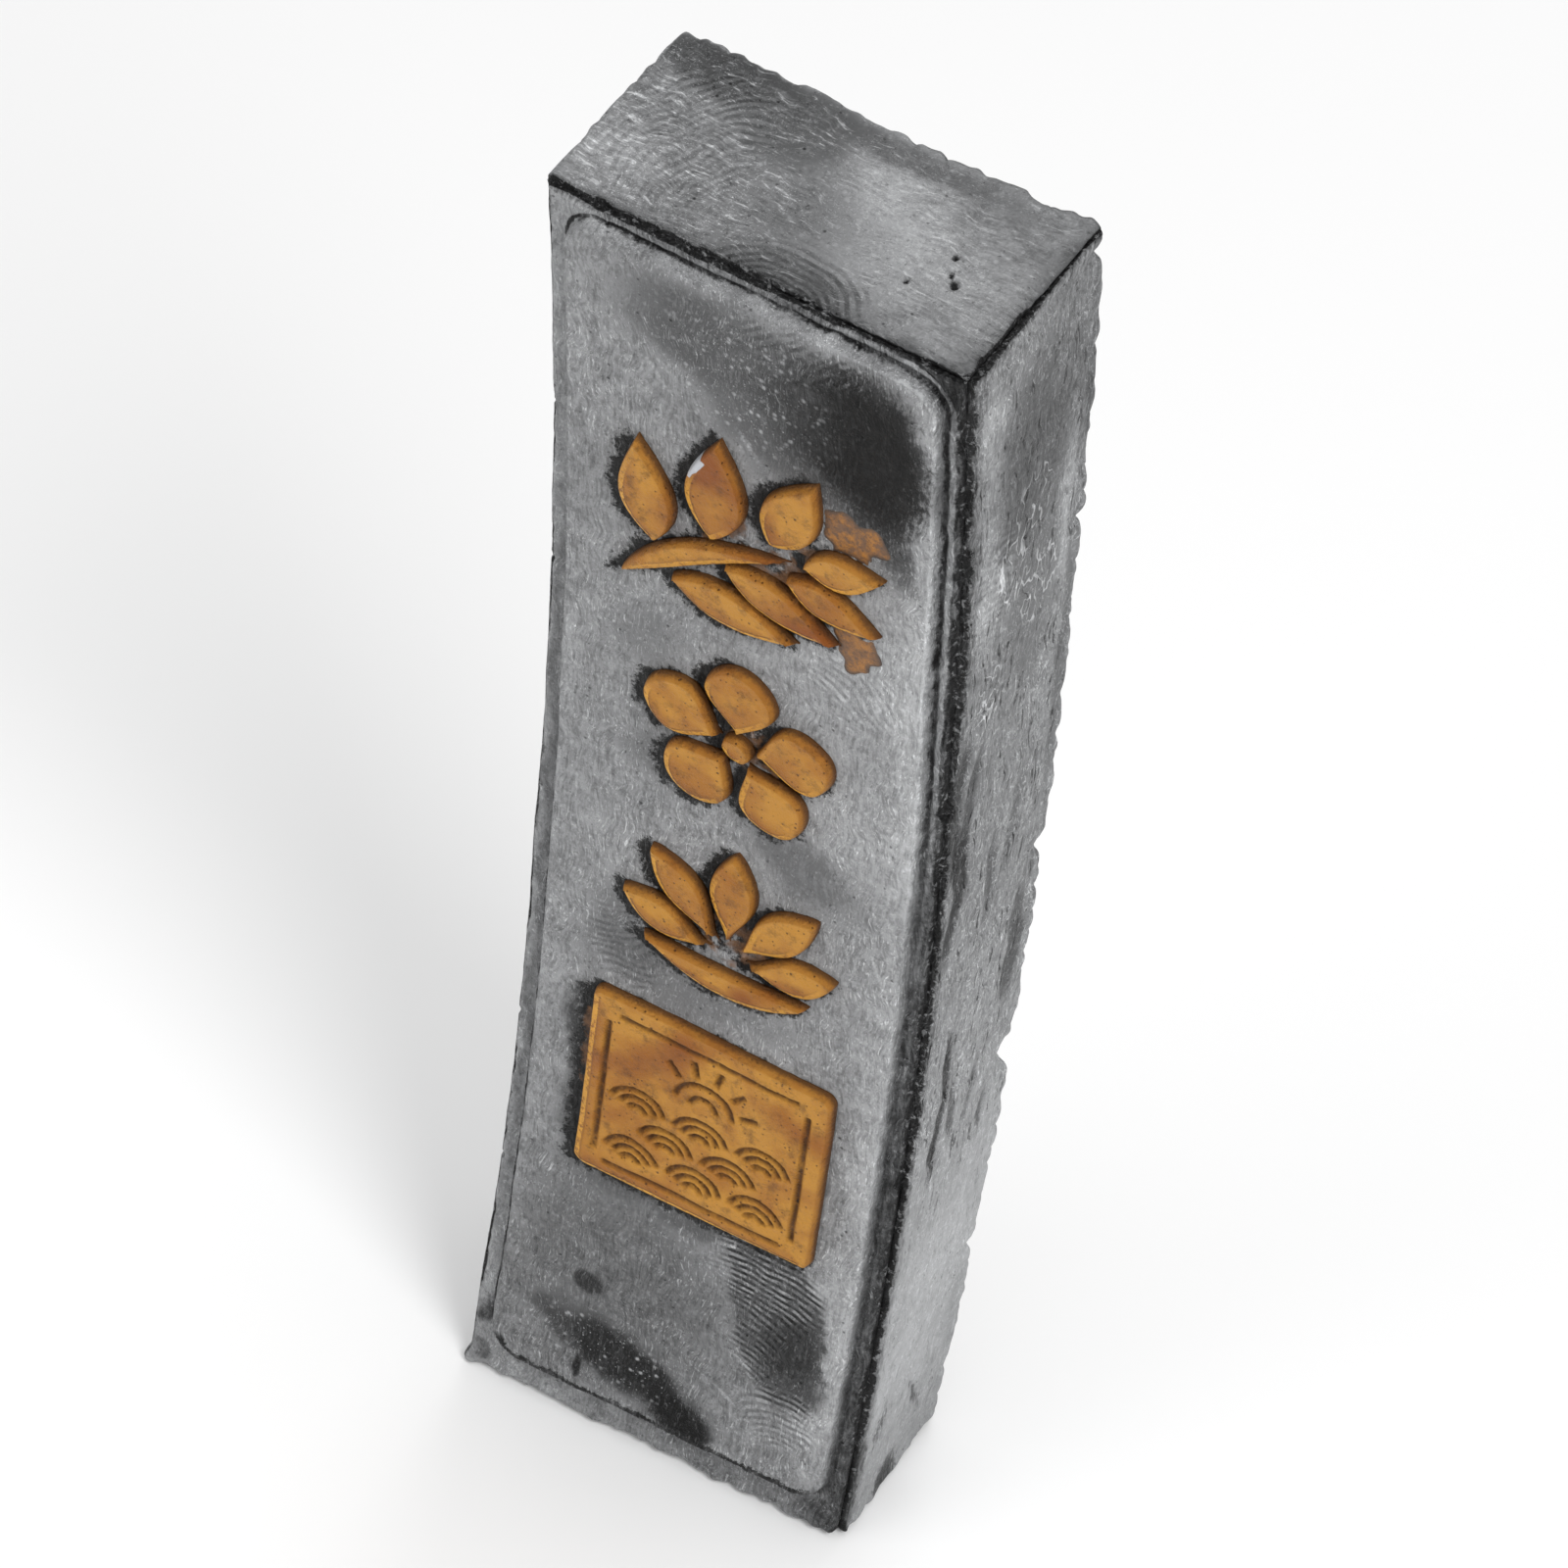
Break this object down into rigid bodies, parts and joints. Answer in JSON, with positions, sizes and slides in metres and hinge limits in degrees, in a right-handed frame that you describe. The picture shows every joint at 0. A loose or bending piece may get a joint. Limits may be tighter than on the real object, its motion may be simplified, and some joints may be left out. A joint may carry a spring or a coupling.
{
  "type": "ink stick",
  "caption": "Rectangular moulded ink stick, slightly curled and twisted, with raised panels and gold-painted raised ornaments.",
  "frame": {"origin": "centre of the bottom end face", "axes": "+Z square to the bottom end, up the stick; -Y is the side the gilded face looks to; +X is to the right seen from that side"},
  "size_m": [0.0252, 0.0227, 0.0879],
  "materials": {
    "ink": "dry matt black with a grey bloom, satin where it is rubbed",
    "gold_paint": "satin gold paint, brushed on, darker in the hollows",
    "paint_smear": "thin brownish gold paint, rubbed"
  },
  "bodies": {
    "root": {"ink_block": "ink", "blossom_heart": "gold_paint", "blossom_petal_1": "gold_paint", "blossom_petal_2": "gold_paint", "blossom_petal_3": "gold_paint", "blossom_petal_4": "gold_paint", "blossom_petal_5": "gold_paint", "lotus_pad": "gold_paint", "lotus_petal_1": "gold_paint", "lotus_petal_2": "gold_paint", "lotus_petal_3": "gold_paint", "lotus_petal_4": "gold_paint", "lotus_petal_5": "gold_paint", "lower_smear": "paint_smear", "plaque": "gold_paint", "sprig_leaf_high_left": "gold_paint", "sprig_leaf_high_right": "gold_paint", "sprig_leaf_low_left": "gold_paint", "sprig_leaf_low_right": "gold_paint", "sprig_leaf_mid_left": "gold_paint", "sprig_leaf_mid_right": "gold_paint", "sprig_leaf_tip": "gold_paint", "sprig_stem": "gold_paint", "upper_smear": "paint_smear"}
  },
  "joints": []
}
